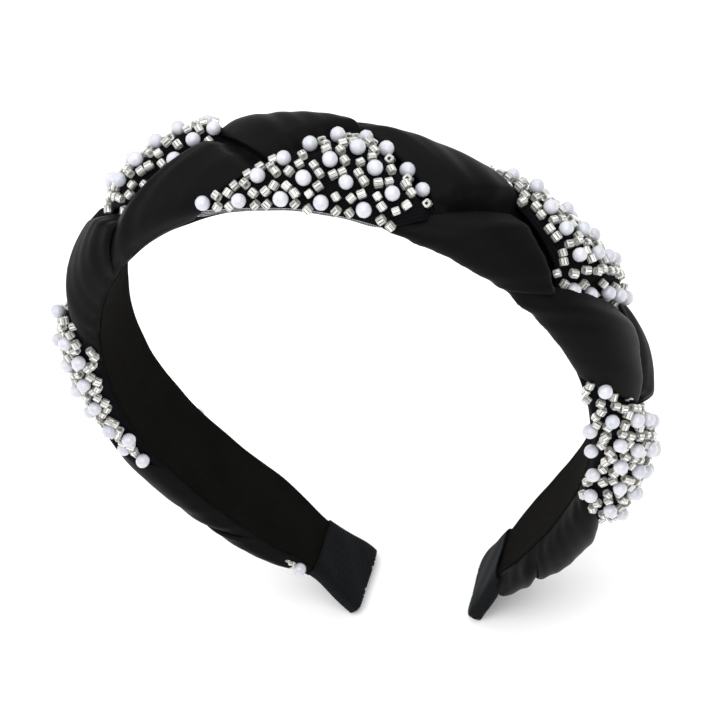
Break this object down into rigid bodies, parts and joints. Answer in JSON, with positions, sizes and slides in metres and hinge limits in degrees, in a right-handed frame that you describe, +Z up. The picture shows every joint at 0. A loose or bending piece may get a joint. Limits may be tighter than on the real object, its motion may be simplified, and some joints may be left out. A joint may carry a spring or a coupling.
{
  "type": "headband",
  "caption": "Springy hair band in the shape of an open hoop, with a velvet lining, a plaited satin cover with pearl and glass bead clusters, and ribbon sleeves on its tips.",
  "frame": {"origin": "middle of the lining's inner face at the crown, where the band sits on top of the head", "axes": "+Z up as worn, X from the left tip to the right tip, Y across the band with the front edge at -Y"},
  "size_m": [0.1513, 0.0299, 0.1629],
  "materials": {
    "velvet_lining": "short black velvet pile, dull with a warm bloom",
    "hoop_plastic": "black moulded strip, hidden",
    "grosgrain_ribbon": "black ribbed ribbon with pinked ends",
    "black_satin": "black satin with a soft broad sheen",
    "black_mesh": "black open mesh with silver thread at its edge",
    "silver_beads": "clear cut glass seed beads with a silver lining",
    "pearl_beads": "white pearl lustre with a faint lilac tint"
  },
  "bodies": {
    "left_half": {"bead_net_1": "silver_beads", "bead_net_2": "silver_beads", "bead_net_3": "silver_beads", "hoop_left": "hoop_plastic", "lining_left": "velvet_lining", "mesh_strand_left": "black_mesh", "pearl_1a": "pearl_beads", "pearl_1b": "pearl_beads", "pearl_1c": "pearl_beads", "pearl_1d": "pearl_beads", "pearl_1e": "pearl_beads", "pearl_2a": "pearl_beads", "pearl_2b": "pearl_beads", "pearl_2c": "pearl_beads", "pearl_2d": "pearl_beads", "pearl_2e": "pearl_beads", "pearl_3a": "pearl_beads", "pearl_3b": "pearl_beads", "pearl_3c": "pearl_beads", "pearl_3d": "pearl_beads", "pearl_3e": "pearl_beads", "satin_strand_a_left": "black_satin", "satin_strand_b_left": "black_satin", "sleeve_left": "grosgrain_ribbon"},
    "right_half": {"bead_net_4": "silver_beads", "bead_net_5": "silver_beads", "bead_net_6": "silver_beads", "hoop_right": "hoop_plastic", "lining_right": "velvet_lining", "mesh_strand_right": "black_mesh", "pearl_4a": "pearl_beads", "pearl_4b": "pearl_beads", "pearl_4c": "pearl_beads", "pearl_4d": "pearl_beads", "pearl_4e": "pearl_beads", "pearl_5a": "pearl_beads", "pearl_5b": "pearl_beads", "pearl_5c": "pearl_beads", "pearl_5d": "pearl_beads", "pearl_5e": "pearl_beads", "pearl_6a": "pearl_beads", "pearl_6b": "pearl_beads", "pearl_6c": "pearl_beads", "pearl_6d": "pearl_beads", "pearl_6e": "pearl_beads", "satin_strand_a_right": "black_satin", "satin_strand_b_right": "black_satin", "sleeve_right": "grosgrain_ribbon"}
  },
  "joints": [
    {"name": "crown_flex", "type": "hinge", "parent": "left_half", "child": "right_half", "pos_m": [0, 0, 0.0094], "axis": [0, -1, 0], "range_deg": [0, 30], "stiffness_Nm_per_rad": 0.6}
  ]
}
